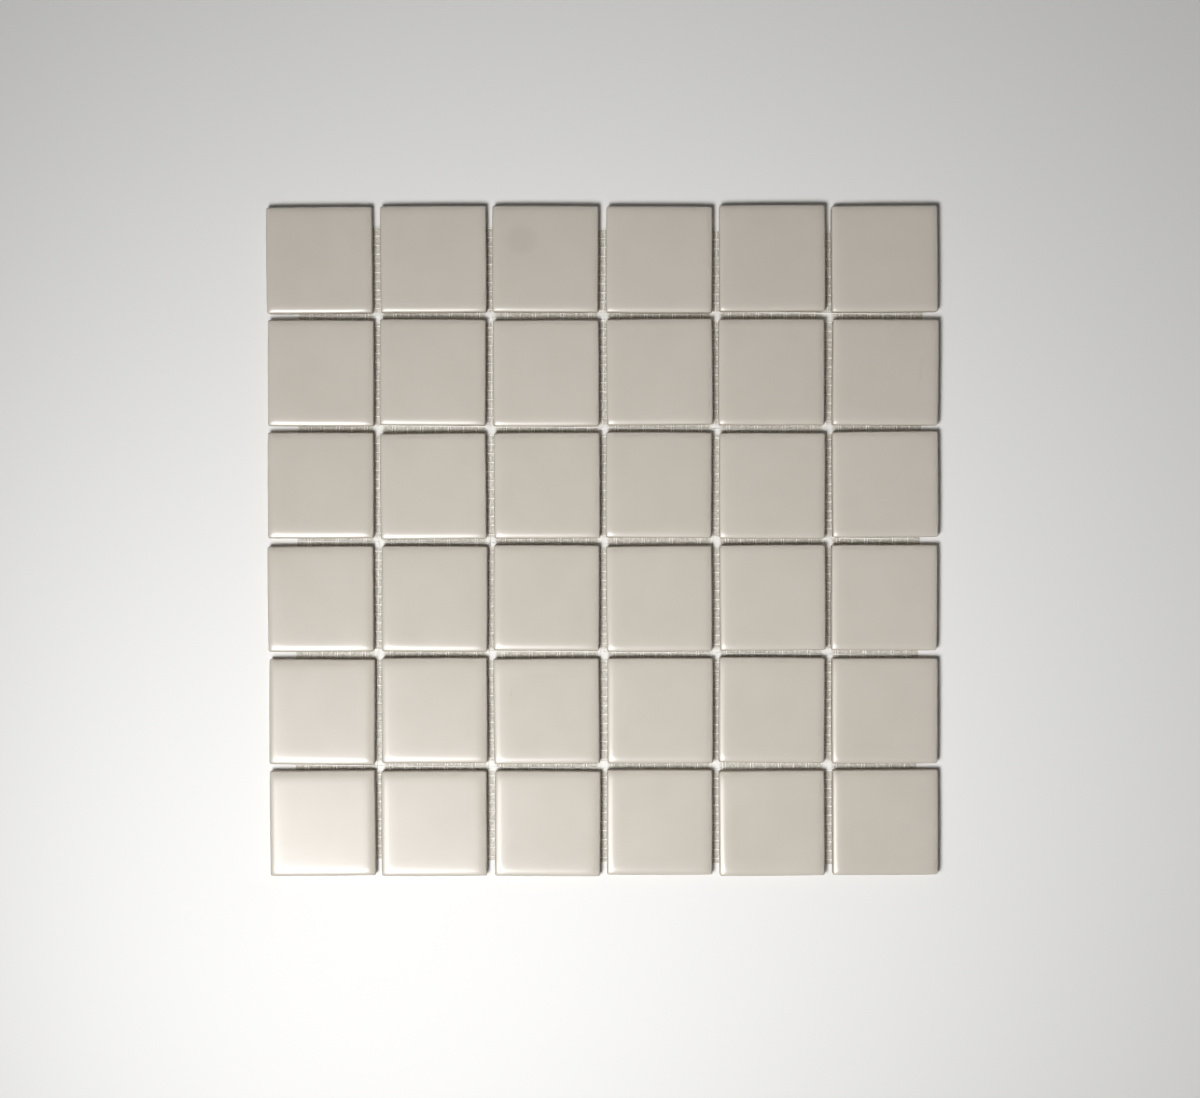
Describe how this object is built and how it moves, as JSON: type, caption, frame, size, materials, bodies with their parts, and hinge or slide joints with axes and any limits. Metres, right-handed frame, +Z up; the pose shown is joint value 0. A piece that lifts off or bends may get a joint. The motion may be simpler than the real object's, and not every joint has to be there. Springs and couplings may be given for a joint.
{
  "type": "mosaic tile sheet",
  "caption": "Square-grid sheet of small satin-glazed square wall and floor tiles with cushioned edges, held at even joints by an open net glued to their backs.",
  "frame": {"origin": "on the floor under the middle of the sheet", "axes": "+Z up, out of the tile faces; +X along the tile rows to the right; +Y up the columns, towards row 1"},
  "size_m": [0.3038, 0.3038, 0.006],
  "materials": {
    "tile": "satin greige glaze",
    "net": "white open-weave glass yarn, resin-dipped"
  },
  "bodies": {
    "root": {"tile_r1_c1": "tile", "tile_r1_c2": "tile", "tile_r1_c3": "tile", "tile_r1_c4": "tile", "tile_r1_c5": "tile", "tile_r1_c6": "tile", "tile_r2_c1": "tile", "tile_r2_c2": "tile", "tile_r2_c3": "tile", "tile_r2_c4": "tile", "tile_r2_c5": "tile", "tile_r2_c6": "tile", "tile_r3_c1": "tile", "tile_r3_c2": "tile", "tile_r3_c3": "tile", "tile_r3_c4": "tile", "tile_r3_c5": "tile", "tile_r3_c6": "tile", "tile_r4_c1": "tile", "tile_r4_c2": "tile", "tile_r4_c3": "tile", "tile_r4_c4": "tile", "tile_r4_c5": "tile", "tile_r4_c6": "tile", "tile_r5_c1": "tile", "tile_r5_c2": "tile", "tile_r5_c3": "tile", "tile_r5_c4": "tile", "tile_r5_c5": "tile", "tile_r5_c6": "tile", "tile_r6_c1": "tile", "tile_r6_c2": "tile", "tile_r6_c3": "tile", "tile_r6_c4": "tile", "tile_r6_c5": "tile", "tile_r6_c6": "tile", "net_weft_yarns": "net", "net_warp_yarns": "net"}
  },
  "joints": []
}
